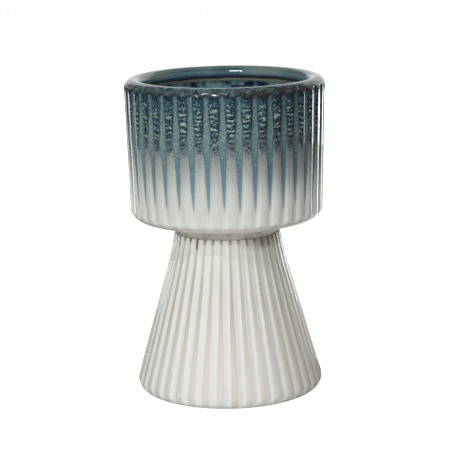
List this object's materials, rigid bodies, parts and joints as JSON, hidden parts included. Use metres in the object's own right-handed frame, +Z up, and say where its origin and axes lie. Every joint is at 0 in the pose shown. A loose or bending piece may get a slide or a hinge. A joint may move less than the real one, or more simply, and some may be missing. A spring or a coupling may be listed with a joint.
{
  "type": "ceramic flower pot",
  "caption": "Fluted, reactive-glazed flower pot: a cylindrical bowl with a rolled lip on a flared, fluted pedestal.",
  "frame": {"origin": "centre of the foot, on the surface that the pot stands on", "axes": "+Z up along the pot's axis; a flute of the bowl and of the pedestal faces -Y"},
  "size_m": [0.1446, 0.1446, 0.23],
  "materials": {
    "bowl_glaze": "glossy reactive glaze, dark blue to cream",
    "collar_glaze": "glossy olive-grey glaze",
    "pedestal_glaze": "glossy off-white glaze, beige-grey on the ridges"
  },
  "bodies": {
    "root": {"bowl": "bowl_glaze", "neck_collar": "collar_glaze", "pedestal": "pedestal_glaze"}
  },
  "joints": []
}
